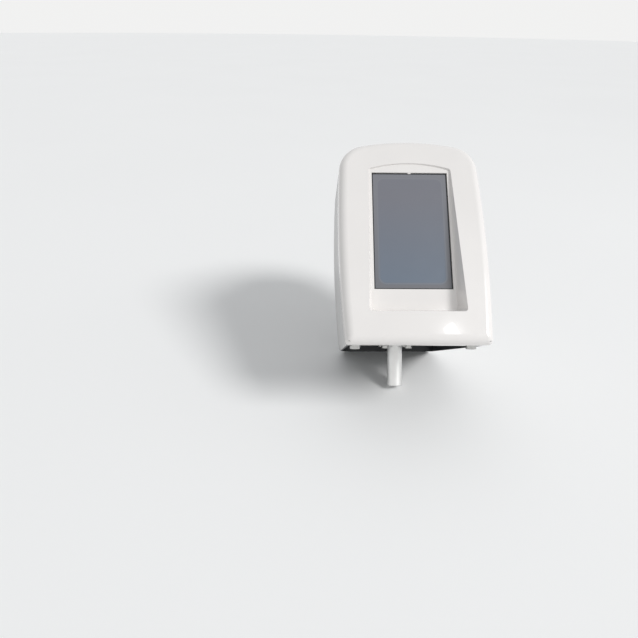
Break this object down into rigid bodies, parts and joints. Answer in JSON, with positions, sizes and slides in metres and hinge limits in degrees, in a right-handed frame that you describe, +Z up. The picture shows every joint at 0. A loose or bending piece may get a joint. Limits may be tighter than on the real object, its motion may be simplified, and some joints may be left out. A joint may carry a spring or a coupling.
{
  "type": "stormer viscometer",
  "caption": "Viscometer head with a sloping touch display, a spring-coupled spindle drive inside and a chuck below for a rotor stem.",
  "frame": {"origin": "on the floor, under the middle of the whole object's box, with the head leaning back as it stands", "axes": "+Z up, +Y from the display to the back, +X to the right of someone facing the display"},
  "size_m": [0.1232, 0.2284, 0.222],
  "materials": {
    "bearing_steel": "shielded bearing",
    "bezel_moulding": "glossy pale moulding",
    "black_plastic": "black moulding",
    "black_steel": "black oxide",
    "bright_fasteners": "bright plated",
    "casing_moulding": "semi-gloss pale moulding",
    "circuit_board": "green solder mask",
    "dark_deck": "dark powder coat",
    "disc_film": "opaque film",
    "gear_resin": "acetal",
    "ground_steel": "ground",
    "motor_can": "plated can",
    "pinion_brass": "cut brass",
    "satin_sleeve": "satin turned",
    "screen_cell": "switched-off display",
    "screen_glass": "clear touch panel",
    "seal_rubber": "soft black",
    "sheet_steel": "zinc-plated sheet",
    "spring_steel": "blued spring strip",
    "turned_aluminium": "turned"
  },
  "bodies": {
    "head": {"base_plate": "dark_deck", "bearing_housing": "turned_aluminium", "board_screws": "bright_fasteners", "bridge_pillars": "pinion_brass", "bridge_plate": "sheet_steel", "bridge_screws": "bright_fasteners", "control_board": "circuit_board", "deck_screws": "bright_fasteners", "display_board": "circuit_board", "display_panel": "screen_cell", "display_retainer": "sheet_steel", "display_screws": "bright_fasteners", "display_spacers": "black_plastic", "flange_nuts": "bright_fasteners", "flange_screws": "bright_fasteners", "front_bezel": "bezel_moulding", "gate_bracket": "sheet_steel", "gear_motor": "motor_can", "inlet_nut": "bright_fasteners", "light_gates": "black_plastic", "lower_bearing": "bearing_steel", "motor_screws": "bright_fasteners", "power_inlet": "black_plastic", "rear_casing": "casing_moulding", "shaft_seal": "seal_rubber", "switch_frame": "black_plastic", "touch_panel": "screen_glass", "upper_bearing": "bearing_steel", "wheel_bearing": "bearing_steel"},
    "drive_wheel": {"drive_wheel": "gear_resin", "upper_disc": "disc_film", "torque_spring": "spring_steel"},
    "chuck": {"spindle": "ground_steel", "chuck_sleeve": "satin_sleeve", "chuck_screws": "black_steel", "lower_disc": "disc_film"},
    "pinion": {"motor_pinion": "pinion_brass", "motor_shaft": "ground_steel"},
    "rocker": {"switch_rocker": "black_plastic"}
  },
  "joints": [
    {"name": "wheel_spin", "type": "hinge", "parent": "head", "child": "drive_wheel", "pos_m": [0, -0.0487, 0.0041], "axis": [0, 0.5471, 0.8371], "continuous": true},
    {"name": "spring_twist", "type": "hinge", "parent": "drive_wheel", "child": "chuck", "pos_m": [0, -0.0487, 0.0041], "axis": [0, 0.5471, 0.8371], "range_deg": [0, 60], "stiffness_Nm_per_rad": 0.06},
    {"name": "pinion_spin", "type": "hinge", "parent": "head", "child": "pinion", "pos_m": [0, -0.03787, 0.09379], "axis": [0, 0.5471, 0.8371], "continuous": true},
    {"name": "rocker_press", "type": "hinge", "parent": "head", "child": "rocker", "pos_m": [0.032, 0.03206, 0.02897], "axis": [1, 0, 0], "range_deg": [-20, 0]}
  ],
  "couplings": [
    {"joint": "pinion_spin", "follows": "wheel_spin", "ratio": -3}
  ]
}
